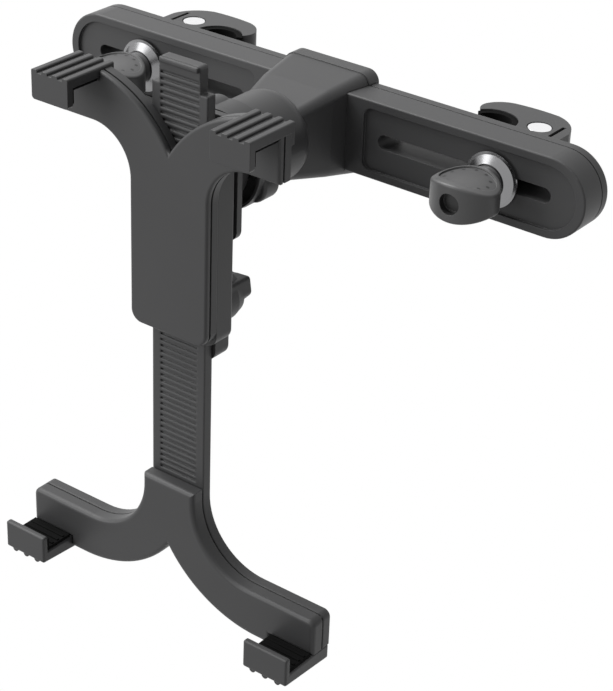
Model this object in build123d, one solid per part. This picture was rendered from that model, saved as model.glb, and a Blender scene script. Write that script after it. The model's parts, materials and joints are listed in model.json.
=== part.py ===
from build123d import *
import math
import os

# Headrest tablet mount, in millimetres.
# X runs along the bar, Z is up, -Y looks at the person who watches the tablet.
# The origin is midway between the two headrest posts, at the bar's mid height.

# Headrest posts and their hooks
post_d = 14.0
post_x = 59.5
liner_t = 2.2
hook_h = 19.0
hook_tip_x = 50.2
hook_out_x = 86.0
hook_top_y = 18.2

# Bar
bar_len = 221.2
bar_h = 28.4
bar_back_y = -8.6
bar_depth = 14.7
back_cover_t = 3.9
rim_w = 2.9
rim_end = 3.4
recess_depth = 1.2
recess_in_x = 23.5
wall = 2.4
slot_in_x = 29.0
slot_out_x = 97.2
slot_h = 5.3
screw_in_x = 45.0
screw_out_x = 103.0
screw_z = 8.4

# Clamp bolts, knobs and washers
clamp_x = 75.2
bolt_d = 5.0
dowel_d = 8.8
dowel_len = 17.6
dowel_y = 5.5
knob_w = 24.0
knob_half_t = 6.7
knob_front_y = -48.6
knob_back_y = -29.0
knob_hole_d = 7.2
washer_d = 19.6
washer_h = 3.4

# Bracket on the middle of the bar
plate_w = 36.6
plate_top = 18.1
plate_bottom = -19.4
plate_r = 4.5
plate_back_y = -7.0
plate_part_y = -13.1
sleeve_mid_y = -30.0
sleeve_front_y = -52.0
axis_z = 1.2
barrel_r = 16.3
barrel_round = 7.5
barrel_round_y = -46.6
barrel_front_y = -61.6

# Ball joint
ball_d = 25.0
ball_y = -58.6
seat_gap = 0.05
liner_r = 14.4
cup_back_y = -45.4
spigot_r = 15.4
spigot_len = 4.0
nut_front_y = -72.2
nut_r = 18.0
nut_lobe_r = 20.0
nut_mouth_r = 16.8
nut_mouth_y = -68.0
nut_bore_r = 11.2
grip_r = 6.5
lobes = 5
collar_r = 13.4
adapter_w = 31.6
adapter_top = 22.0
adapter_bottom = -21.0
adapter_t = 2.5
adapter_y = -78.9
hub_r = 9.0
hub_depth = 1.6
hub_neck_r = 5.0
hub_screw_d = 4.0

# Tablet holder
shell_back_y = -83.1
cover_back_y = -91.7
cover_front_y = -97.4
stem_half = 16.3
stem_bottom = -53.9
shell_top = 14.0
shell_bottom = -56.0
arc_r = 45.5
arc_x = 38.9
upper_top = 33.0
upper_under = 14.0
upper_end_x = 44.6
upper_fillet = 16.0
groove_w = 0.8

# Rack and lower arm
strip_half = 11.4
strip_back_y = -87.9
strip_top = 41.2
rail_top = 32.0
tongue_half = 8.4
tooth_pitch = 2.3
tooth_depth = 0.7
lower_arc_r = 49.0
lower_arc_x = 40.0
lower_top = -142.0
lower_bottom = -160.0
lower_end_x = 64.9
lower_corner = 2.5
lower_fillet = 24.7
ledge_z = -113.3
run_gap = 0.06

# Claws
claw_front_y = -112.1
lip_t = 2.5
upper_rib_h = 1.0
upper_shelf_t = 2.4
upper_lip_h = 9.2
lower_rib_h = 1.9
lower_shelf_t = 4.3
lower_lip_h = 10.6
wrap_h = 6.5
rib_count = 4
claw_in_upper = 29.0
claw_in_lower = 46.5
pad_t = 1.1

# Lock knob and release tab
lock_z = -49.5
lock_r = 10.3
lock_back_y = -63.0
lock_wings = 3
lock_bolt_d = 4.0
tab_half = 12.6
tab_back_y = -79.8
tab_bottom = -64.2
pivot_y = -86.0
pivot_z = -54.0
pin_r = 0.8

bar_front_y = bar_back_y - bar_depth
bar_part_y = bar_back_y - back_cover_t
recess_y = bar_front_y + recess_depth
stem_r = 4.5
tight = 0.02
hub_end_y = strip_back_y + 1.15
washer_front_y = strip_back_y + 0.4
upper_face_z = upper_top - upper_rib_h
lower_face_z = lower_bottom - 0.3
upper_sizes = (upper_shelf_t, upper_lip_h, upper_rib_h)
lower_sizes = (lower_shelf_t, lower_lip_h, lower_rib_h)


def at_y(y):
    # Plane facing the viewer, local x along X and local y along Z
    return Plane(origin=(0, y, 0), x_dir=(1, 0, 0), z_dir=(0, -1, 0))


def slab(sketch, y_back, y_front):
    return extrude(at_y(y_back) * sketch, amount=y_back - y_front)


def rod_y(x, z, r, y_back, y_front):
    return slab(Pos(x, z) * Circle(r), y_back, y_front)


def box(x0, x1, y0, y1, z0, z1):
    return Pos((x0 + x1) / 2, (y0 + y1) / 2, (z0 + z1) / 2) * Box(x1 - x0, y1 - y0, z1 - z0)


def spin_y(points, x=0.0, z=0.0):
    # Turns an outline of (radius, y) points around a Y axis through (x, z)
    face = make_face(Polyline(*[(r, y) for r, y in points], close=True))
    return Pos(x, 0, z) * revolve(Plane.XY * face, axis=Axis.Y)


def both(part):
    return part, mirror(part, about=Plane.YZ)


def save(part, name):
    export_step(part, os.path.join("parts", name + ".step"))


def join(parts):
    return Compound(children=list(parts))


# Outlines shared by several pieces
stadium = SlotOverall(bar_len, bar_h)
slot_mid = (slot_in_x + slot_out_x) / 2
slot_len = slot_out_x - slot_in_x


def slot_outline(side, grow=0.0):
    return Pos(side * slot_mid, 0) * SlotOverall(slot_len + 2 * grow, slot_h + 2 * grow)


def recess_outline(side):
    half = bar_h / 2 - rim_w
    end_x = bar_len / 2 - rim_end
    face = Pos(end_x / 2, 0) * SlotOverall(end_x, 2 * half)
    keep = Pos((recess_in_x + 120) / 2, 0) * Rectangle(120 - recess_in_x, 60)
    face = face & keep
    corners = face.vertices().filter_by_position(Axis.X, recess_in_x - 0.1, recess_in_x + 0.1)
    face = fillet(corners, 3.0)
    return face if side > 0 else mirror(face, about=Plane.YZ)


def circle_z(x, cx, cz, r, upper):
    root = math.sqrt(r * r - (x - cx) ** 2)
    return cz + root if upper else cz - root


def upper_outline(inset=0.0):
    # Y-shaped cover seen from the front: V between two round arms, then the stem
    cz = upper_top - arc_r
    arc = arc_r - inset
    top = upper_top - inset
    side = stem_half - inset
    end_x = upper_end_x - inset
    under = upper_under + inset
    bottom = stem_bottom + inset
    corner = stem_r - inset
    fil_x = stem_half + upper_fillet
    fil_z = upper_under - upper_fillet
    bend = (upper_fillet + inset) * math.sqrt(0.5)
    turn = corner * (1 - math.sqrt(0.5))
    mid_x = 16.0
    edges = [
        ThreePointArc(
            (0, circle_z(0, arc_x, cz, arc, True)),
            (mid_x, circle_z(mid_x, arc_x, cz, arc, True)),
            (arc_x, top),
        ),
        Line((arc_x, top), (end_x, top)),
        Line((end_x, top), (end_x, under)),
        Line((end_x, under), (fil_x, under)),
        ThreePointArc((fil_x, under), (fil_x - bend, fil_z + bend), (side, fil_z)),
        Line((side, fil_z), (side, bottom + corner)),
        ThreePointArc((side, bottom + corner), (side - turn, bottom + turn), (side - corner, bottom)),
        Line((side - corner, bottom), (0, bottom)),
        Line((0, bottom), (0, circle_z(0, arc_x, cz, arc, True))),
    ]
    half = make_face(edges)
    return half + mirror(half, about=Plane.YZ)


def lower_outline(top, inset=0.0):
    # Lower Y: the strip's foot spreading into two arms
    cz = lower_bottom + lower_arc_r
    arc = lower_arc_r - inset
    bottom = lower_bottom + inset
    side = strip_half - inset
    end_x = lower_end_x - inset
    over = lower_top - inset
    fil_x = strip_half + lower_fillet
    fil_z = lower_top + lower_fillet
    bend = (lower_fillet + inset) * math.sqrt(0.5)
    mid_x = 16.0
    cusp = circle_z(0, lower_arc_x, cz, arc, False)
    edges = [
        ThreePointArc(
            (0, cusp),
            (mid_x, circle_z(mid_x, lower_arc_x, cz, arc, False)),
            (lower_arc_x, bottom),
        ),
        Line((lower_arc_x, bottom), (end_x, bottom)),
        Line((end_x, bottom), (end_x, over)),
        Line((end_x, over), (fil_x, over)),
        ThreePointArc((fil_x, over), (fil_x - bend, fil_z - bend), (side, fil_z)),
        Line((side, fil_z), (side, top - inset)),
        Line((side, top - inset), (0, top - inset)),
        Line((0, top - inset), (0, cusp)),
    ]
    half = make_face(edges)
    return half + mirror(half, about=Plane.YZ)


def bar_front_shell():
    body = slab(stadium, bar_part_y, bar_front_y)
    front = body.faces().sort_by(Axis.Y)[0]
    body = fillet(front.edges(), 0.6)
    inner = slab(SlotOverall(bar_len - 2 * wall, bar_h - 2 * wall), bar_part_y, recess_y + 2.2)
    keep = slab(Rectangle(44, bar_h), bar_part_y, recess_y)
    for side in (-1, 1):
        keep += slab(slot_outline(side, 2.0), bar_part_y, recess_y)
        for x, z in screw_spots(side):
            keep += rod_y(x, z, 2.8, bar_part_y, recess_y)
    body = body - (inner - keep)
    for side in (-1, 1):
        body -= slab(recess_outline(side), recess_y, bar_front_y - 1)
        body -= slab(slot_outline(side), bar_part_y + 1, bar_front_y - 1)
        for x, z in screw_spots(side):
            body -= rod_y(x, z, 1.1 + tight, bar_part_y + 1, bar_part_y - 5.8)
    for x, z in bracket_spots():
        body -= rod_y(x, z, 1.8, bar_part_y + 1, bar_front_y - 1)
    return body - parting_groove(bar_part_y, -1)


def parting_groove(y, way):
    # Fine V at the joint between the two halves of the bar
    ring = slab(SlotOverall(bar_len + 2, bar_h + 2), y + 0.25, y - 0.25)
    return ring - slab(SlotOverall(bar_len - 0.8, bar_h - 0.8), y + 0.25, y - 0.25)


def screw_spots(side):
    return [(side * screw_in_x, screw_z), (side * screw_in_x, -screw_z), (side * screw_out_x, 0.0)]


def bracket_spots():
    return [(sx * 9.0, sz * 7.5) for sx in (-1, 1) for sz in (-1, 1)]


def bar_back_cover():
    body = slab(stadium, bar_back_y, bar_part_y)
    back = body.faces().sort_by(Axis.Y)[-1]
    body = fillet(back.edges(), 0.7)
    rim = slab(SlotOverall(bar_len - 2 * wall - 0.2, bar_h - 2 * wall - 0.2), bar_part_y, bar_part_y - 1.4)
    rim -= slab(SlotOverall(bar_len - 2 * wall - 3, bar_h - 2 * wall - 3), bar_part_y, bar_part_y - 1.4)
    rim -= slab(Rectangle(44.4, bar_h), bar_part_y, bar_part_y - 1.4)
    for side in (-1, 1):
        for x, z in screw_spots(side):
            rim -= rod_y(x, z, 3.0, bar_part_y, bar_part_y - 1.4)
    body += rim
    for side in (-1, 1):
        body -= slab(slot_outline(side), bar_back_y + 1, bar_part_y - 2)
        for x, z in screw_spots(side):
            body -= rod_y(x, z, 1.1 + tight, bar_back_y + 1, bar_part_y - 2)
            body -= rod_y(x, z, 2.3 + tight, bar_back_y + 1, bar_back_y - 1.9)
    for x, z in bracket_spots():
        body -= rod_y(x, z, 1.8, bar_back_y + 1, bar_part_y - 2)
    return body - parting_groove(bar_part_y, 1)


def pan_screw(x, z, r, head_r, head_t, y_head_back, y_tip):
    # Screw along Y with its head at the back and a cross recess
    head = rod_y(x, z, head_r, y_head_back, y_head_back - head_t)
    shank = rod_y(x, z, r, y_head_back - head_t, y_tip)
    slot = head_r * 0.55
    cross = box(x - slot, x + slot, y_head_back - head_t * 0.55, y_head_back + 1, z - 0.25, z + 0.25)
    cross += box(x - 0.25, x + 0.25, y_head_back - head_t * 0.55, y_head_back + 1, z - slot, z + slot)
    return head + shank - cross


def bar_screws():
    out = []
    for side in (-1, 1):
        for x, z in screw_spots(side):
            out.append(pan_screw(x, z, 1.1, 2.3, 1.4, bar_back_y - 0.5, bar_part_y - 5.6))
    return join(out)


def bracket_housing():
    # Sleeve over the bar that narrows forward into the round socket barrel
    stations = [
        (plate_part_y, plate_w / 2 - 0.4, plate_top - 0.3, plate_bottom + 0.3, plate_r - 0.3),
        (sleeve_mid_y, 15.3, 15.9, -15.8, 3.6),
        (sleeve_front_y, 10.6, 11.2, -11.2, 3.0),
    ]
    faces = []
    for y, half_w, top, bottom, corner in stations:
        outline = RectangleRounded(2 * half_w, top - bottom, corner)
        faces.append(at_y(y) * (Pos(0, (top + bottom) / 2) * outline))
    body = loft(faces[:2], ruled=True) + loft(faces[1:], ruled=True)
    barrel = rod_y(0, axis_z, barrel_r, barrel_round_y + barrel_round, barrel_front_y)
    ends = barrel.edges().filter_by(GeomType.CIRCLE).sort_by(Axis.Y)
    barrel = fillet(ends[-1], barrel_round)
    barrel = chamfer(barrel.edges().filter_by(GeomType.CIRCLE).sort_by(Axis.Y)[0], 0.6)
    body += barrel
    body += rod_y(0, axis_z, spigot_r, barrel_front_y + 1, barrel_front_y - spigot_len)
    body -= rod_y(0, axis_z, liner_r + seat_gap, cup_back_y + seat_gap, barrel_front_y - spigot_len - 1)
    body -= rod_y(0, axis_z, 4.0, cup_back_y + 5.4, cup_back_y - 1)
    body -= box(-60, 60, bar_front_y - run_gap, 0, -bar_h / 2 - run_gap, bar_h / 2 + run_gap)
    for x, z in bracket_spots():
        body -= rod_y(x, z, 1.5 + tight, bar_front_y + 1, bar_front_y - 9.8)
    return body


def bracket_back_plate():
    outline = RectangleRounded(plate_w, plate_top - plate_bottom, plate_r)
    body = slab(Pos(0, (plate_top + plate_bottom) / 2) * outline, plate_back_y, plate_part_y)
    back = body.faces().sort_by(Axis.Y)[-1]
    body = fillet(back.edges(), 0.8)
    body -= box(-60, 60, plate_part_y - 1, bar_back_y + run_gap, -bar_h / 2 - run_gap, bar_h / 2 + run_gap)
    for x, z in bracket_spots():
        body -= rod_y(x, z, 1.8, plate_back_y + 1, bar_back_y - 1)
    return body


def bracket_screws():
    out = []
    for x, z in bracket_spots():
        out.append(pan_screw(x, z, 1.5, 3.0, 1.5, plate_back_y + 1.5, bar_front_y - 9.5))
    return join(out)


def ball_lock_nut():
    # Grip ring on the barrel's spigot, with a wide mouth for the stud's collar
    back_y = barrel_front_y - 0.1
    body = spin_y(
        [(0, back_y), (nut_r - 0.8, back_y), (nut_r, back_y - 0.8)]
        + [(nut_r, nut_front_y + 2.2), (nut_mouth_r + 0.9, nut_front_y), (0, nut_front_y)],
        0,
        axis_z,
    )
    for i in range(lobes):
        a = math.radians(-27 + i * 360 / lobes)
        reach = nut_lobe_r - grip_r
        x = reach * math.cos(a)
        z = axis_z + reach * math.sin(a)
        lobe = rod_y(x, z, grip_r, back_y - 0.5, nut_front_y + 2.0)
        lobe = fillet(lobe.edges().filter_by(GeomType.CIRCLE), 1.2)
        body += lobe
    body -= rod_y(0, axis_z, spigot_r + 0.1, barrel_front_y + 1, barrel_front_y - spigot_len - 0.1)
    body -= rod_y(0, axis_z, nut_bore_r, barrel_front_y, nut_front_y - 1)
    body -= rod_y(0, axis_z, nut_mouth_r, nut_mouth_y, nut_front_y - 1)
    return body


def ball_seat(y_back, y_front):
    ring = rod_y(0, axis_z, liner_r, y_back, y_front)
    return ring - Pos(0, ball_y, axis_z) * Sphere(ball_d / 2 + seat_gap)


def socket_rear_cup():
    cup = ball_seat(cup_back_y, ball_y)
    return cup - rod_y(0, axis_z, 4.0, cup_back_y + 1, cup_back_y - 3)


def socket_front_ring():
    ring = ball_seat(ball_y - 0.1, barrel_front_y - spigot_len - 0.05)
    return ring - rod_y(0, axis_z, 10.4, ball_y, nut_front_y)


def ball_stud():
    ball = Pos(0, ball_y, axis_z) * Sphere(ball_d / 2)
    neck_y = nut_mouth_y - 1.2
    neck = spin_y(
        [(0, ball_y - 3.4), (7.0, ball_y - 3.4), (7.0, neck_y), (collar_r, nut_front_y - 0.4)]
        + [(collar_r, adapter_y), (0, adapter_y)],
        0,
        axis_z,
    )
    body = ball + neck
    return body - rod_y(0, axis_z, hub_screw_d / 2 + tight, adapter_y + 7.0, adapter_y - 1)


def adapter_plate():
    front_y = adapter_y - adapter_t
    outline = RectangleRounded(adapter_w, adapter_top - adapter_bottom, 4.0)
    body = slab(Pos(0, (adapter_top + adapter_bottom) / 2) * outline, adapter_y, front_y)
    body += rod_y(0, axis_z, hub_r, front_y, shell_back_y - hub_depth)
    body += rod_y(0, axis_z, hub_neck_r, front_y, hub_end_y)
    return body - rod_y(0, axis_z, hub_screw_d / 2 + 0.05, adapter_y + 1, hub_end_y - 1)


def hub_washer():
    body = rod_y(0, axis_z, 8.0, hub_end_y - 0.01, washer_front_y)
    r = hub_screw_d / 2
    cone = spin_y(
        [(0, hub_end_y + 0.05), (r + 0.05, hub_end_y + 0.05), (r + 1.6, washer_front_y - 0.1)]
        + [(0, washer_front_y - 0.1)],
        0,
        axis_z,
    )
    return body - cone - rod_y(0, axis_z, r + 0.05, hub_end_y + 1, washer_front_y - 1)


def hub_screw():
    r = hub_screw_d / 2
    body = rod_y(0, axis_z, r, adapter_y + 6.7, washer_front_y + 0.1)
    head = spin_y(
        [(0, hub_end_y), (r, hub_end_y), (r + 1.3, washer_front_y), (0, washer_front_y)],
        0,
        axis_z,
    )
    cross_y = washer_front_y + 0.4
    cross = box(-1.6, 1.6, washer_front_y - 1, cross_y, axis_z - 0.25, axis_z + 0.25)
    cross += box(-0.25, 0.25, washer_front_y - 1, cross_y, axis_z - 1.6, axis_z + 1.6)
    return body + head - cross


def holder_front_cover():
    body = slab(upper_outline(), cover_back_y, cover_front_y)
    # Shadow line round the edge
    line_y = cover_front_y + 1.9
    rim = slab(upper_outline(), line_y + groove_w, line_y)
    rim -= slab(upper_outline(0.7), line_y + groove_w, line_y)
    body -= rim
    for side in (-1, 1):
        body -= claw_seat(side, True)
        for z in holder_screw_z():
            body -= rod_y(side * 13.6, z, 1.0 + tight, cover_back_y + 1, cover_back_y - 3.4)
    return body


def holder_screw_z():
    return (-47.0, -22.0, 8.0)


def claw_seat(side, upper):
    # Pocket in the arm's end that a claw wraps
    front = cover_front_y - 1
    back = shell_back_y + 1
    if upper:
        floor = upper_face_z - upper_shelf_t - 0.05
        cut = box(claw_in_upper - 0.05, upper_end_x + 9, front, back, floor, upper_top + 5)
    else:
        floor = lower_face_z + lower_shelf_t + 0.05
        cut = box(claw_in_lower - 0.05, lower_end_x + 9, front, back, lower_bottom - 5, floor)
    return cut if side > 0 else mirror(cut, about=Plane.YZ)


def holder_back_shell():
    mid = (shell_top + shell_bottom) / 2
    face = Pos(0, mid) * RectangleRounded(2 * stem_half, shell_top - shell_bottom, stem_r)
    body = slab(face, shell_back_y, cover_back_y)
    back = body.faces().sort_by(Axis.Y)[-1]
    body = fillet(back.edges(), 1.2)
    body -= box(
        -strip_half - run_gap,
        strip_half + run_gap,
        cover_back_y - 1,
        strip_back_y + run_gap,
        shell_bottom - 1,
        shell_top + 1,
    )
    body -= rod_y(0, axis_z, hub_r + 0.05, shell_back_y + 1, shell_back_y - hub_depth - 0.02)
    body -= rod_y(0, axis_z, hub_neck_r + 0.05, shell_back_y, strip_back_y - 1)
    body -= rod_y(0, axis_z, 8.3, hub_end_y + 0.05, strip_back_y - 1)
    body -= rod_y(0, lock_z, lock_bolt_d / 2 + 0.05, shell_back_y + 1, strip_back_y - 1)
    # Room for the release tab's neck, open below and behind
    body -= box(-8.2, 8.2, strip_back_y - 1, pivot_y + 1.6, shell_bottom - 1, pivot_z + 1.7)
    body -= box(-8.2, 8.2, pivot_y + 1, shell_back_y + 3, shell_bottom - 1, shell_bottom + 1.4)
    body -= Pos(0, pivot_y, pivot_z) * Rot(0, 90, 0) * Cylinder(pin_r + tight, 24)
    for side in (-1, 1):
        for z in holder_screw_z():
            body -= rod_y(side * 13.6, z, 1.0 + tight, shell_back_y + 1, cover_back_y - 1)
            body -= rod_y(side * 13.6, z, 1.8 + tight, shell_back_y + 1, shell_back_y - 1.7)
    return body


def holder_screws():
    out = []
    for side in (-1, 1):
        for z in holder_screw_z():
            out.append(pan_screw(side * 13.6, z, 1.0, 1.8, 1.2, shell_back_y - 0.5, cover_back_y - 3.2))
    return join(out)


def upper_claw_right():
    return claw(claw_in_upper, upper_end_x, upper_face_z, -1, cover_back_y, upper_sizes)


def lower_claw_right():
    return claw(claw_in_lower, lower_end_x, lower_face_z, 1, strip_back_y, lower_sizes)


def claw(x0, x1, face_z, way, back_y, sizes):
    # Shelf over the arm's end, ribbed outside, lip in front and a short wrap behind.
    # way is -1 where the lip hangs down from the shelf, and +1 where it stands up.
    shelf_t, lip_h, rib_h = sizes
    wide = sorted([face_z, face_z + way * shelf_t])
    tall = sorted([face_z, face_z + way * lip_h])
    wrap = sorted([face_z, face_z + way * wrap_h])
    lip_z = face_z + way * lip_h
    body = box(x0, x1, claw_front_y, back_y + 1.5, wide[0], wide[1])
    body += box(x0, x1, claw_front_y, claw_front_y + lip_t, tall[0], tall[1])
    body += box(x0, x1, back_y + 0.05, back_y + 1.5, wrap[0], wrap[1])
    tip = body.edges().filter_by(Axis.Y).filter_by_position(Axis.Z, lip_z - 0.01, lip_z + 0.01)
    body = fillet(tip, 1.2)
    rib_w = (x1 - x0) / (rib_count * 1.6)
    pitch = (x1 - x0 - rib_w) / (rib_count - 1)
    rib_z = sorted([face_z + way * 0.5, face_z - way * rib_h])
    for i in range(rib_count):
        left = x0 + i * pitch
        rib = box(left, left + rib_w, claw_front_y, back_y + 1.5, rib_z[0], rib_z[1])
        outer = face_z - way * rib_h
        crest = rib.edges().filter_by(Axis.Y).filter_by_position(Axis.Z, outer - 0.01, outer + 0.01)
        body += fillet(crest, min(0.8, rib_h * 0.6))
    return body


def claw_pad(x0, x1, face_z, way, sizes):
    # Rubber liner on the inside of the lip and of the shelf
    shelf_t, lip_h, rib_h = sizes
    inner_z = face_z + way * shelf_t
    z_shelf = sorted([inner_z, inner_z + way * pad_t])
    z_lip = sorted([inner_z, face_z + way * (lip_h - 1.2)])
    y_lip = claw_front_y + lip_t
    body = box(x0 + 0.6, x1 - 0.6, y_lip, cover_front_y - 0.2, z_shelf[0], z_shelf[1])
    body += box(x0 + 0.6, x1 - 0.6, y_lip, y_lip + pad_t, z_lip[0], z_lip[1])
    for i in range(3):
        y = y_lip + 3.2 + i * 2.8
        z_rib = sorted([inner_z + way * pad_t, inner_z + way * (pad_t + 0.4)])
        body += box(x0 + 1.2, x1 - 1.2, y, y + 1.0, z_rib[0], z_rib[1])
    return body


def rack_arm():
    # Toothed strip with the lower arms' back layer, one moulding
    front = cover_back_y + run_gap
    body = slab(lower_outline(ledge_z - 2), strip_back_y, front)
    body += box(-strip_half, strip_half, front, strip_back_y, ledge_z - 4, rail_top)
    body += box(-tongue_half, tongue_half, front, strip_back_y, rail_top - 1, strip_top)
    ends = body.edges().filter_by(Axis.Y)
    top_corners = ends.filter_by_position(Axis.Z, strip_top - 0.01, strip_top + 0.01)
    body = fillet(top_corners, 1.2)
    outer = body.edges().filter_by(Axis.Y).filter_by_position(Axis.Z, lower_top - 0.01, lower_top + 0.01)
    outer = [e for e in outer if abs(e.center().X) > lower_end_x - 1]
    body = fillet(outer, lower_corner)
    # End stop across the top
    stop = box(-tongue_half + 0.6, tongue_half - 0.6, front - 1.0, front + 0.2, strip_top - 1.9, strip_top - 0.3)
    body += stop
    cuts = []
    z = ledge_z + 1.4
    while z < strip_top - 4.5:
        cuts.append(box(-8.0, 8.0, front - 1, front + tooth_depth, z, z + 0.95))
        z += tooth_pitch
    z = ledge_z + 3.0
    while z < rail_top - 3:
        cuts.append(box(-4.0, 4.0, strip_back_y - 0.8, strip_back_y + 1, z, z + 1.3))
        z += tooth_pitch
    body = body - cuts
    for side in (-1, 1):
        body -= claw_seat(side, False)
        for x, z in lower_screw_spots():
            body -= rod_y(side * x, z, 1.0 + tight, strip_back_y + 1, front - 1)
            body -= rod_y(side * x, z, 1.8 + tight, strip_back_y + 1, strip_back_y - 1.5)
    return body


def lower_screw_spots():
    return [(7.0, -122.0), (40.0, -151.0)]


def lower_front_plate():
    back = cover_back_y + run_gap
    body = slab(lower_outline(ledge_z), back, cover_front_y)
    outer = body.edges().filter_by(Axis.Y).filter_by_position(Axis.Z, lower_top - 0.01, lower_top + 0.01)
    outer = [e for e in outer if abs(e.center().X) > lower_end_x - 1]
    body = fillet(outer, lower_corner)
    groove = slab(lower_outline(ledge_z), back, back - 0.6)
    groove -= slab(lower_outline(ledge_z, 0.7), back, back - 0.6)
    body -= groove
    for side in (-1, 1):
        body -= claw_seat(side, False)
        for x, z in lower_screw_spots():
            body -= rod_y(side * x, z, 1.0 + tight, back + 1, back - 3.4)
    return body


def lower_arm_screws():
    out = []
    for side in (-1, 1):
        for x, z in lower_screw_spots():
            out.append(pan_screw(side * x, z, 1.0, 1.8, 1.2, strip_back_y - 0.3, cover_back_y - 3.1))
    return join(out)


def lock_knob():
    # Grip with three wings on a waisted hub
    hub_front = shell_back_y + 0.3
    body = spin_y(
        [(0, hub_front), (5.6, hub_front), (5.0, hub_front + 6), (6.0, hub_front + 8)]
        + [(6.0, lock_back_y - 0.8), (5.2, lock_back_y), (0, lock_back_y)],
        0,
        lock_z,
    )
    wing_r = 3.1
    for i in range(lock_wings):
        a = i * 360 / lock_wings
        wing = slab(Pos(lock_r / 2, 0) * SlotOverall(lock_r, 2 * wing_r), lock_back_y, lock_back_y - 9.5)
        wing = fillet(wing.edges().group_by(Axis.Y)[0], 1.6)
        wing = fillet(wing.edges().group_by(Axis.Y)[-1], 1.2)
        body += Pos(0, 0, lock_z) * Rot(0, a, 0) * wing
    return body - rod_y(0, lock_z, lock_bolt_d / 2 + tight, lock_back_y - 3.0, shell_back_y - 1)


def lock_bolt():
    body = rod_y(0, lock_z, lock_bolt_d / 2, lock_back_y - 3.2, strip_back_y + 0.3)
    tip = body.edges().filter_by(GeomType.CIRCLE).sort_by(Axis.Y)[0]
    return chamfer(tip, 0.6)


def release_tab():
    # Thumb tab under the shell; its nose reaches for the rack's rear grooves
    front = strip_back_y + 0.3
    pad = box(-tab_half, tab_half, front, tab_back_y, tab_bottom, shell_bottom - 0.5)
    low = pad.edges().filter_by(Axis.Y).filter_by_position(Axis.Z, tab_bottom - 0.01, tab_bottom + 0.01)
    pad = fillet(low, 4.0)
    rim = pad.faces().sort_by(Axis.Y)[-1]
    pad = fillet(rim.edges(), 1.2)
    axle = Pos(0, pivot_y, pivot_z) * Rot(0, 90, 0)
    neck = box(-7.8, 7.8, pivot_y - 1.4, pivot_y + 1.3, shell_bottom - 1, pivot_z)
    nose = box(-3.6, 3.6, strip_back_y + 0.16, pivot_y, pivot_z + 0.4, pivot_z + 1.1)
    body = pad + neck + axle * Cylinder(1.4, 15.6) + nose
    for i in range(3):
        z = tab_bottom + 2.0 + i * 1.8
        body -= box(-8.0, 8.0, tab_back_y - 0.5, tab_back_y + 1, z, z + 0.8)
    return body - axle * Cylinder(pin_r + 0.05, 30)


def tab_pin():
    return Pos(0, pivot_y, pivot_z) * Rot(0, 90, 0) * Cylinder(pin_r, 22)


def hook_plan():
    # Plan view of the right hook, drawn in X and Y
    r = post_d / 2 + liner_t
    foot_y = bar_back_y + 0.05
    a0 = math.radians(146)
    start = (post_x + r * math.cos(a0), r * math.sin(a0))
    mid = (post_x + r * math.cos(math.radians(75)), r * math.sin(math.radians(75)))
    edges = [
        Line((hook_out_x, foot_y), (hook_out_x, 6.4)),
        ThreePointArc((hook_out_x, 6.4), (hook_out_x - 3.9, 13.8), (75.4, hook_top_y - 0.4)),
        ThreePointArc((75.4, hook_top_y - 0.4), (67.6, hook_top_y), (59.8, hook_top_y - 0.5)),
        ThreePointArc((59.8, hook_top_y - 0.5), (54.6, hook_top_y - 2.2), (hook_tip_x + 0.4, 11.4)),
        ThreePointArc((hook_tip_x + 0.4, 11.4), (hook_tip_x, 8.6), start),
    ]
    end = (post_x + r, 0.0)
    edges.append(ThreePointArc(start, mid, end))
    edges.append(Line(end, (post_x + r, foot_y)))
    edges.append(Line((post_x + r, foot_y), (hook_out_x, foot_y)))
    return make_face(edges)


def clamp_hook_right():
    body = extrude(Plane.XY.offset(-hook_h / 2) * hook_plan(), amount=hook_h)
    slit = box(81.3, 82.6, -0.8, 10.6, -hook_h, hook_h)
    body -= slit
    body -= Pos(clamp_x, dowel_y, 0) * Cylinder(dowel_d / 2 + tight, 40)
    body -= rod_y(clamp_x, 0, bolt_d / 2 + 0.2, 14.0, bar_back_y - 2)
    return body


def post_pad_right():
    # Rubber liner in the hook's mouth, where the post sits
    r = post_d / 2
    ring = Pos(post_x, 0, 0) * (Cylinder(r + liner_t - 0.04, hook_h - 1.0) - Cylinder(r, hook_h + 1))
    wedge = extrude(Plane.XY.offset(-20) * make_face(Polyline(
        (post_x, 0), (post_x + 30, 0), (post_x + 30, 30), (post_x - 30, 30), (post_x - 22, 12), close=True)),
        amount=40)
    return ring & wedge


def cross_dowel_right():
    body = Pos(clamp_x, dowel_y, 0) * Cylinder(dowel_d / 2, dowel_len)
    body = chamfer(body.edges().filter_by(GeomType.CIRCLE), 0.4)
    return body - rod_y(clamp_x, 0, bolt_d / 2 + 0.05, 20, -10)


def clamp_bolt_right():
    body = rod_y(clamp_x, 0, bolt_d / 2, 13.0, knob_front_y + 6.0)
    head = extrude(at_y(knob_front_y + 6.0) * (Pos(clamp_x, 0) * RegularPolygon(3.4, 6)), amount=3.2)
    tip = body.edges().filter_by(GeomType.CIRCLE).sort_by(Axis.Y)[-1]
    return chamfer(tip, 0.5) + head


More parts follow.
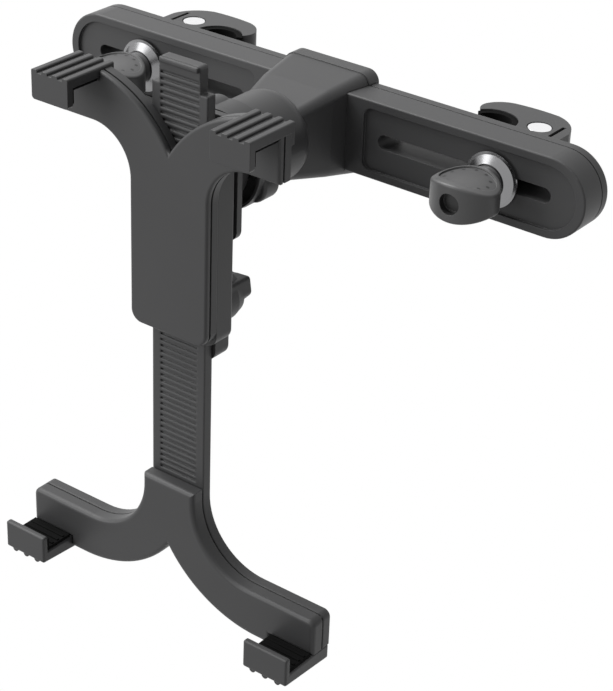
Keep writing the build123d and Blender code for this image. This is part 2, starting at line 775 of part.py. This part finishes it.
def clamp_knob_right():
    # Oval thumb knob: lens shaped from the front, elliptical from above, scooped on both sides
    depth = knob_back_y - knob_front_y
    plan = Pos(clamp_x, (knob_back_y + knob_front_y) / 2) * Ellipse(knob_w / 2, depth / 2)
    body = extrude(Plane.XY.offset(-20) * plan, amount=40)
    tip_z = 3.4
    half = knob_w / 2
    lens = make_face([
        ThreePointArc((-half - 0.5, tip_z), (0, knob_half_t), (half + 0.5, tip_z)),
        Line((half + 0.5, tip_z), (half + 0.5, -tip_z)),
        ThreePointArc((half + 0.5, -tip_z), (0, -knob_half_t), (-half - 0.5, -tip_z)),
        Line((-half - 0.5, -tip_z), (-half - 0.5, tip_z)),
    ])
    body &= slab(Pos(clamp_x, 0) * lens, 0, -60)
    body = fillet(body.edges().filter_by(lambda e: abs(e.center().Z) > 2.5), 1.0)
    inner = Pos(clamp_x, (knob_back_y + knob_front_y) / 2 + 0.9) * Ellipse(knob_w / 2 - 2.0, depth / 2 - 2.6)
    for way in (-1, 1):
        scoop = extrude(Plane.XY.offset(way * 3.0) * inner, amount=way * 10)
        lens_in = slab(Pos(clamp_x, -way * 0.7) * lens, 0, -60)
        body -= scoop - lens_in
    body += rod_y(clamp_x, 0, 5.6, recess_y - washer_h - 0.1, knob_back_y - 3)
    body -= rod_y(clamp_x, 0, knob_hole_d / 2, knob_front_y + 2.8, knob_front_y - 1)
    hexa = extrude(at_y(knob_front_y + 6.02) * (Pos(clamp_x, 0) * RegularPolygon(3.42, 6)), amount=3.3)
    body -= hexa
    return body - rod_y(clamp_x, 0, bolt_d / 2 + tight, 0, knob_front_y + 5)


def clamp_washer_right():
    # Dished polished washer under the knob
    r = washer_d / 2
    back = recess_y - 0.05
    body = spin_y(
        [(bolt_d / 2 + 0.15, back), (r - 0.6, back), (r, back - 0.7), (r, back - 1.4), (r - 1.0, back - 1.5)]
        + [(6.2, back - washer_h), (bolt_d / 2 + 0.15, back - washer_h)],
        clamp_x,
        0,
    )
    return body


os.makedirs("parts", exist_ok=True)

single = {
    "bar_front_shell": bar_front_shell,
    "bar_back_cover": bar_back_cover,
    "bar_screws": bar_screws,
    "bracket_housing": bracket_housing,
    "bracket_back_plate": bracket_back_plate,
    "bracket_screws": bracket_screws,
    "ball_lock_nut": ball_lock_nut,
    "socket_rear_cup": socket_rear_cup,
    "socket_front_ring": socket_front_ring,
    "ball_stud": ball_stud,
    "adapter_plate": adapter_plate,
    "hub_washer": hub_washer,
    "hub_screw": hub_screw,
    "holder_front_cover": holder_front_cover,
    "holder_back_shell": holder_back_shell,
    "holder_screws": holder_screws,
    "rack_arm": rack_arm,
    "lower_front_plate": lower_front_plate,
    "lower_arm_screws": lower_arm_screws,
    "lock_knob": lock_knob,
    "lock_bolt": lock_bolt,
    "release_tab": release_tab,
    "tab_pin": tab_pin,
}
for name, make in single.items():
    save(make(), name)

pairs = {
    "upper_claw": upper_claw_right(),
    "upper_pad": claw_pad(claw_in_upper, upper_end_x, upper_face_z, -1, upper_sizes),
    "lower_claw": lower_claw_right(),
    "lower_pad": claw_pad(claw_in_lower, lower_end_x, lower_face_z, 1, lower_sizes),
    "clamp_hook": clamp_hook_right(),
    "post_pad": post_pad_right(),
    "cross_dowel": cross_dowel_right(),
    "clamp_bolt": clamp_bolt_right(),
    "clamp_knob": clamp_knob_right(),
    "clamp_washer": clamp_washer_right(),
}
for name, part in pairs.items():
    right, left = both(part)
    save(right, name + "_right")
    save(left, name + "_left")
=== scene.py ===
import math

import bmesh
import bpy
from mathutils import Matrix, Vector
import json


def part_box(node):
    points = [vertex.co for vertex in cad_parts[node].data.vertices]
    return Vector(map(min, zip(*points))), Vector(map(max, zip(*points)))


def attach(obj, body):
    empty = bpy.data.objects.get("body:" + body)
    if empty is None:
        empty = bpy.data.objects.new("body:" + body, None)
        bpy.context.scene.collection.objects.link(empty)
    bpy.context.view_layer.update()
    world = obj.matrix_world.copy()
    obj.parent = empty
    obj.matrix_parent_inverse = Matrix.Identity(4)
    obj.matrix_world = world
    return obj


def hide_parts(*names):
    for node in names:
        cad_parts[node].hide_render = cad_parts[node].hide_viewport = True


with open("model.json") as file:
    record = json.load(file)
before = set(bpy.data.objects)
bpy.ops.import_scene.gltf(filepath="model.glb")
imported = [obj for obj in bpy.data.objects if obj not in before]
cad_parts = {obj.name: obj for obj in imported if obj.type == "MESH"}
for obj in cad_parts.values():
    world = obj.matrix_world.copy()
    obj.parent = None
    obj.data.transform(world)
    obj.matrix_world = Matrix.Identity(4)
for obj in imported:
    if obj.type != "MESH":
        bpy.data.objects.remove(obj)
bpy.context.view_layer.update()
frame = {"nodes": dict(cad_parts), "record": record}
nodes = frame["nodes"]
scene = bpy.context.scene


# Materials

def shader(name, rough, metal=0.0, spec=0.5):
    mat = bpy.data.materials.new(name)
    mat.use_nodes = True
    tree = mat.node_tree
    bsdf = tree.nodes["Principled BSDF"]
    bsdf.inputs["Roughness"].default_value = rough
    bsdf.inputs["Metallic"].default_value = metal
    bsdf.inputs["Specular IOR Level"].default_value = spec
    return mat, tree, bsdf


def node(tree, kind, **inputs):
    made = tree.nodes.new(kind)
    for name, value in inputs.items():
        made.inputs[name].default_value = value
    return made


def noise(tree, scale, detail=2.0):
    coord = node(tree, "ShaderNodeTexCoord")
    tex = node(tree, "ShaderNodeTexNoise", Scale=scale, Detail=detail)
    tree.links.new(coord.outputs["Object"], tex.inputs["Vector"])
    return tex.outputs["Fac"]


def blend_tones(tree, source, low, high):
    mix = tree.nodes.new("ShaderNodeMix")
    mix.data_type = "RGBA"
    mix.inputs["A"].default_value = (*low, 1)
    mix.inputs["B"].default_value = (*high, 1)
    tree.links.new(source, mix.inputs["Factor"])
    return mix.outputs["Result"]


def number(tree, operation, *values):
    # Math node on sockets or plain numbers
    made = tree.nodes.new("ShaderNodeMath")
    made.operation = operation
    for i, value in enumerate(values):
        if isinstance(value, (int, float)):
            made.inputs[i].default_value = value
        else:
            tree.links.new(value, made.inputs[i])
    return made.outputs[0]


def surface(tree, bsdf, height, distance, edge):
    # Fine relief over edges that look rounded by the given radius
    relief = node(tree, "ShaderNodeBump", Strength=1.0, Distance=distance)
    tree.links.new(height, relief.inputs["Height"])
    if edge:
        soft = node(tree, "ShaderNodeBevel", Radius=edge)
        soft.samples = 6
        tree.links.new(soft.outputs["Normal"], relief.inputs["Normal"])
    tree.links.new(relief.outputs["Normal"], bsdf.inputs["Normal"])


def plastic(name, tone, rough, spec=0.5, grain=0.00001, edge=0.00035):
    mat, tree, bsdf = shader(name, rough, spec=spec)
    low = tuple(c * 0.95 for c in tone)
    high = tuple(c * 1.05 for c in tone)
    tree.links.new(blend_tones(tree, noise(tree, 60, 3), low, high), bsdf.inputs["Base Color"])
    surface(tree, bsdf, noise(tree, 2600), grain, edge)
    return mat


def box_middle(obj):
    return sum((Vector(c) for c in obj.bound_box), Vector()) / 8


def length_of(tree, first, second):
    squares = [number(tree, "MULTIPLY", side, side) for side in (first, second)]
    return number(tree, "SQRT", number(tree, "ADD", *squares))


def dimpled_painted_shade(name, tone, rough, spec, obj):
    # Plastic with painted shade: a curved row of small dots on the thumb faces, where the real
    # dimples are, and the bore are painted darker to stand for the shade in them
    row_radius = 0.0066
    row_centre = 0.001
    squash = 0.85
    dot_step = 0.56
    dot_radius = 0.00055
    bore_radius = 0.0037
    thumb_face = 0.8
    mat, tree, bsdf = shader(name, rough, spec=spec)
    middle = box_middle(obj)
    coord = tree.nodes.new("ShaderNodeTexCoord")
    part = tree.nodes.new("ShaderNodeSeparateXYZ")
    tree.links.new(coord.outputs["Object"], part.inputs["Vector"])
    across = number(tree, "SUBTRACT", part.outputs["X"], middle.x)
    deep = number(tree, "SUBTRACT", part.outputs["Y"], middle.y - row_centre)
    rise = number(tree, "SUBTRACT", part.outputs["Z"], middle.z)
    wide = number(tree, "MULTIPLY", across, squash)
    # Angle round the row, kept above zero so that it repeats evenly
    turn = number(tree, "ADD", number(tree, "ARCTAN2", deep, wide), 7.0)
    off_dot = number(tree, "SUBTRACT", number(tree, "MODULO", turn, dot_step), dot_step / 2)
    side = number(tree, "MULTIPLY", off_dot, row_radius)
    away = number(tree, "SUBTRACT", length_of(tree, wide, deep), row_radius)
    # Dots painted dark over the real dimples: painted shade
    dimple_shade = number(tree, "LESS_THAN", length_of(tree, side, away), dot_radius)
    facing = tree.nodes.new("ShaderNodeSeparateXYZ")
    tree.links.new(coord.outputs["Normal"], facing.inputs["Vector"])
    flat = number(tree, "GREATER_THAN", number(tree, "ABSOLUTE", facing.outputs["Z"]), thumb_face)
    # Walls of the bore painted dark: painted shade in the hole
    bore_shade = number(tree, "LESS_THAN", length_of(tree, across, rise), bore_radius)
    shade_mask = number(tree, "MAXIMUM", number(tree, "MULTIPLY", dimple_shade, flat), bore_shade)
    # Tone of the painted shade in the dimples and the bore
    painted_shade = tuple(c * 0.3 for c in tone)
    tree.links.new(blend_tones(tree, shade_mask, tone, painted_shade), bsdf.inputs["Base Color"])
    surface(tree, bsdf, noise(tree, 1500), 0.00002, 0.0004)
    return mat


def turned_metal(name, tone, rough, obj):
    # Lathe-turned face: gloss stretched across fine rings round the piece's own Y axis
    mat, tree, bsdf = shader(name, rough, metal=1.0)
    bsdf.inputs["Base Color"].default_value = (*tone, 1)
    bsdf.inputs["Anisotropic"].default_value = 0.85
    coord = tree.nodes.new("ShaderNodeTexCoord")
    spoke = tree.nodes.new("ShaderNodeVectorMath")
    spoke.operation = "SUBTRACT"
    spoke.inputs[1].default_value = box_middle(obj)
    tree.links.new(coord.outputs["Object"], spoke.inputs[0])
    along = tree.nodes.new("ShaderNodeVectorMath")
    along.operation = "CROSS_PRODUCT"
    along.inputs[1].default_value = (0, 1, 0)
    tree.links.new(spoke.outputs["Vector"], along.inputs[0])
    world_dir = tree.nodes.new("ShaderNodeVectorTransform")
    world_dir.vector_type = "VECTOR"
    world_dir.convert_from = "OBJECT"
    world_dir.convert_to = "WORLD"
    tree.links.new(along.outputs["Vector"], world_dir.inputs["Vector"])
    tree.links.new(world_dir.outputs["Vector"], bsdf.inputs["Tangent"])
    return mat


def metal(name, tone, rough):
    mat, tree, bsdf = shader(name, rough, metal=1.0)
    low = tuple(c * 0.92 for c in tone)
    tree.links.new(blend_tones(tree, noise(tree, 500), low, tone), bsdf.inputs["Base Color"])
    return mat


black = (0.05, 0.05, 0.051)
# Knob is body plastic made lighter so its top facets read brighter: painted light
knob_tone_painted_light = (0.092, 0.092, 0.093)
# Washer is bright steel made darker to stand for the dark reflection of the knob in its dish:
# painted reflection
washer_tone_painted_reflection = (0.24, 0.24, 0.245)
body = plastic("body_plastic", black, rough=0.45, spec=0.3)
arm_body = plastic("body_plastic_soft", black, rough=0.45, spec=0.3, edge=0.0011)
rubber = plastic("pad_rubber", (0.006, 0.006, 0.006), rough=0.9, spec=0.06)
seat = plastic("seat_plastic", (0.4, 0.4, 0.38), rough=0.4)
steel = metal("steel", (0.55, 0.55, 0.57), rough=0.32)
blackened = metal("steel_blackened", (0.05, 0.05, 0.05), rough=0.5)
bright = metal("bright_steel", (0.92, 0.92, 0.93), rough=0.16)
by_slot = {
    "body_plastic": body,
    "pad_rubber": rubber,
    "seat_plastic": seat,
    "steel": steel,
    "bright_steel": bright,
}
by_node = {
    "rack_arm": arm_body,
    "clamp_bolt_left": blackened,
    "clamp_bolt_right": blackened,
}
for side in ("left", "right"):
    knob = "clamp_knob_" + side
    washer = "clamp_washer_" + side
    by_node[knob] = dimpled_painted_shade(
        "body_plastic_" + knob, knob_tone_painted_light, rough=0.4, spec=0.36, obj=nodes[knob])
    by_node[washer] = turned_metal(
        "bright_steel_" + washer, washer_tone_painted_reflection, rough=0.2, obj=nodes[washer])
for row in frame["record"]["subparts"]:
    obj = nodes[row["node"]]
    obj.data.materials.clear()
    obj.data.materials.append(by_node.get(row["node"], by_slot[row["material_slot"]]))


# Pieces modelled here

weld = 1e-6


def piece(name, shape, rides_on, stands_for, finish):
    # Turns a bmesh in the frame's own place into an object that replaces a CAD node
    mesh = bpy.data.meshes.new(name)
    bmesh.ops.recalc_face_normals(shape, faces=shape.faces)
    shape.to_mesh(mesh)
    shape.free()
    obj = bpy.data.objects.new(name, mesh)
    scene.collection.objects.link(obj)
    mesh.materials.append(finish)
    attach(obj, rides_on)
    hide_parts(stands_for)


def rounded(shape, geom, radius, segments=3):
    bmesh.ops.bevel(
        shape,
        geom=geom,
        offset=radius,
        segments=segments,
        profile=0.5,
        affect="EDGES",
        material=-1,
        clamp_overlap=True,
    )


def prism(shape, outline, along, start, end):
    # Extrudes an outline along X (points y, z) or Y (points x, z) and returns its faces
    known = set(shape.faces)
    if along == "X":
        verts = [shape.verts.new((start, y, z)) for y, z in outline]
        step = (end - start, 0, 0)
    else:
        verts = [shape.verts.new((x, start, z)) for x, z in outline]
        step = (0, end - start, 0)
    face = shape.faces.new(verts)
    grown = bmesh.ops.extrude_face_region(shape, geom=[face])
    moved = [v for v in grown["geom"] if isinstance(v, bmesh.types.BMVert)]
    bmesh.ops.translate(shape, verts=moved, vec=step)
    return [f for f in shape.faces if f not in known]


def edges_of(faces):
    # Each edge once, always in the same order
    return list(dict.fromkeys(e for f in faces for e in f.edges))


def lower_claw(side):
    # Moulded tray with rounded edges, its floor a little deeper to the rear, three ribs below
    edge = 0.0007
    ribs = 3
    rib_r = 0.0013
    rib_sink = 0.0007
    rib_slope = 0.0006
    end_gap = 0.0006
    side_step = 0.0002
    node_name = "lower_claw_" + side
    low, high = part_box(node_name)
    pad_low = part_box("lower_pad_" + side)[0]
    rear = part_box("rack_arm")[1].y
    front_under = low.z + 0.002
    rear_under = low.z + 0.0004
    lip_top = high.z + 0.0003
    outline = [
        (low.y, lip_top),
        (low.y, front_under),
        (rear, rear_under),
        (rear, pad_low.z),
        (pad_low.y, pad_low.z),
        (pad_low.y, lip_top),
    ]
    shape = bmesh.new()
    tray = prism(shape, outline, "X", low.x - side_step, high.x)
    rounded(shape, edges_of(tray), edge)
    pitch = (high.x - low.x) * 0.29
    tilt = math.atan2(front_under - rear_under - rib_slope, rear - low.y)
    lie_flat = Matrix.Rotation(math.pi / 2 - tilt, 4, "X")
    mid_y = (low.y + rear) / 2
    mid_z = (front_under + rear_under) / 2 + rib_sink
    centre_x = (low.x + high.x) / 2
    for i in range(ribs):
        x = centre_x + (i - (ribs - 1) / 2) * pitch
        bmesh.ops.create_cone(
            shape,
            cap_ends=True,
            segments=24,
            radius1=rib_r,
            radius2=rib_r,
            depth=rear - low.y - end_gap,
            matrix=Matrix.Translation((x, mid_y, mid_z)) @ lie_flat,
        )
    piece(node_name + "_moulded", shape, "arm", node_name, body)


def lock_grip():
    # Grip with three tapered wings behind a round base
    wings = 3
    first_turn = 23
    wing_len = 0.0105
    valley_r = 0.0071 * 0.86
    root_r = 0.0071 * 0.62
    tip_r = 0.0092
    tip_half = 0.0029
    tip_zone = 0.0082
    tip_edge = 0.0011
    rim_edge = 0.0006
    base_r = 0.0091
    low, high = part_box("lock_knob")
    bolt_low, bolt_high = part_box("lock_bolt")
    z = (bolt_low.z + bolt_high.z) / 2
    back = high.y
    wing_front = back - wing_len
    # Distance out and to the side of each wing's four corners
    corners = (
        (root_r, -0.0045),
        (tip_r - 0.0011, -tip_half),
        (tip_r + 0.0005, tip_half + 0.0003),
        (root_r, 0.005),
    )
    outline = []
    for i in range(wings):
        degrees = first_turn + 360 / wings * i
        turn = math.radians(degrees)
        valley = math.radians(degrees - 180 / wings)
        along = Vector((math.cos(turn), math.sin(turn)))
        beside = Vector((-along.y, along.x))
        outline.append((valley_r * math.cos(valley), z + valley_r * math.sin(valley)))
        for reach, half in corners:
            spot = along * reach + beside * half
            outline.append((spot.x, z + spot.y))
    shape = bmesh.new()
    faces = prism(shape, outline, "Y", wing_front, back)
    tips = [
        e for e in edges_of(faces)
        if abs(e.verts[0].co.y - e.verts[1].co.y) > 0.001
        and math.hypot(e.verts[0].co.x, e.verts[0].co.z - z) > tip_zone
    ]
    rounded(shape, tips, tip_edge, 4)
    rim = [e for e in shape.edges if all(abs(v.co.y - back) < 1e-7 for v in e.verts)]
    rounded(shape, rim, rim_edge)
    base = [
        (0, low.y),
        (0.0062, low.y),
        (base_r, low.y + 0.0008),
        (base_r, wing_front + 0.003),
        (0.0081, wing_front + 0.0068),
        (0, wing_front + 0.0068),
    ]
    ends = [shape.verts.new((r, y, z)) for r, y in base]
    profile = [shape.edges.new(pair) for pair in zip(ends, ends[1:])]
    bmesh.ops.spin(
        shape,
        geom=ends + profile,
        cent=(0, 0, z),
        axis=(0, 1, 0),
        angle=2 * math.pi,
        steps=48,
        use_merge=True,
    )
    bmesh.ops.remove_doubles(shape, verts=shape.verts, dist=weld)
    piece("lock_grip", shape, "arm_lock", "lock_knob", body)


def merged_copy(node_name):
    # A CAD node's mesh with its loose triangles joined
    shape = bmesh.new()
    shape.from_mesh(nodes[node_name].data)
    bmesh.ops.remove_doubles(shape, verts=shape.verts, dist=weld)
    return shape


def long_dowel(side):
    # Copy of the cross dowel with its ends just inside the hook's faces
    end_depth = 0.0008
    below_face = 0.0002
    node_name = "cross_dowel_" + side
    low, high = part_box(node_name)
    hook_low, hook_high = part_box("clamp_hook_" + side)
    shape = merged_copy(node_name)
    for vert in shape.verts:
        if vert.co.z > high.z - end_depth:
            vert.co.z += hook_high.z - below_face - high.z
        elif vert.co.z < low.z + end_depth:
            vert.co.z -= low.z - hook_low.z - below_face
    piece(node_name + "_flush", shape, side + "_hook", node_name, bright)


def front_rounded(node_name, rides_on, radius, finish):
    # Copy of a flat moulding whose front outline has its true rounding
    front_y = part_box(node_name)[0].y
    shape = merged_copy(node_name)
    bmesh.ops.dissolve_limit(shape, angle_limit=0.01, verts=shape.verts, edges=shape.edges)
    front = [
        e for e in shape.edges
        if all(abs(v.co.y - front_y) < weld for v in e.verts)
        and any(abs(f.normal.y) < 0.5 for f in e.link_faces)
    ]
    rounded(shape, front, radius, 4)
    piece(node_name + "_rounded", shape, rides_on, node_name, finish)


lower_claw("left")
lower_claw("right")
front_rounded("lower_front_plate", "arm", radius=0.0022, finish=body)
front_rounded("holder_front_cover", "holder", radius=0.0009, finish=body)
long_dowel("left")
long_dowel("right")
lock_grip()


# Camera and light

cam_data = bpy.data.cameras.new("camera")
cam = bpy.data.objects.new("camera", cam_data)
scene.collection.objects.link(cam)
scene.camera = cam
cam_data.lens = 105.7
cam_data.sensor_width = 36
cam.location = (0.3848666, -0.5473578, 0.2738105)
right = Vector((0.79645086, 0.60370608, 0.03471313))
up = Vector((-0.31893399, 0.37060158, 0.87231621))
back = Vector((0.51375786, -0.70582819, 0.48770834))
cam.rotation_mode = "QUATERNION"
cam.rotation_quaternion = Matrix((right, up, back)).transposed().to_quaternion()
cam_data.clip_start = 0.01
cam_data.clip_end = 20

world = bpy.data.worlds.new("world")
scene.world = world
world.use_nodes = True
wt = world.node_tree
bg = wt.nodes["Background"]
bg.inputs["Color"].default_value = (1, 1, 1, 1)
bg.inputs["Strength"].default_value = 0.21
white = wt.nodes.new("ShaderNodeBackground")
white.inputs["Color"].default_value = (1, 1, 1, 1)
white.inputs["Strength"].default_value = 1.0
path = wt.nodes.new("ShaderNodeLightPath")
mix = wt.nodes.new("ShaderNodeMixShader")
seen = wt.nodes.new("ShaderNodeMath")
seen.operation = "MAXIMUM"
wt.links.new(path.outputs["Is Camera Ray"], seen.inputs[0])
wt.links.new(path.outputs["Is Glossy Ray"], seen.inputs[1])
wt.links.new(seen.outputs[0], mix.inputs["Fac"])
wt.links.new(bg.outputs["Background"], mix.inputs[1])
wt.links.new(white.outputs["Background"], mix.inputs[2])
wt.links.new(mix.outputs["Shader"], wt.nodes["World Output"].inputs["Surface"])


def area(name, place, width, power):
    # Square lamp aimed at the middle of the mount
    target = Vector((0, -0.05, -0.05))
    data = bpy.data.lights.new(name, "AREA")
    data.shape = "SQUARE"
    data.size = width
    data.energy = power
    obj = bpy.data.objects.new(name, data)
    scene.collection.objects.link(obj)
    obj.location = place
    aim = (Vector(place) - target).normalized()
    obj.rotation_mode = "QUATERNION"
    obj.rotation_quaternion = aim.to_track_quat("Z", "Y")


area("top_light", (-0.5, -0.1, 0.78), width=0.7, power=12)
area("left_light", (-0.85, -1.1, 0.45), width=1.1, power=15.5)

scene.view_settings.view_transform = "Standard"
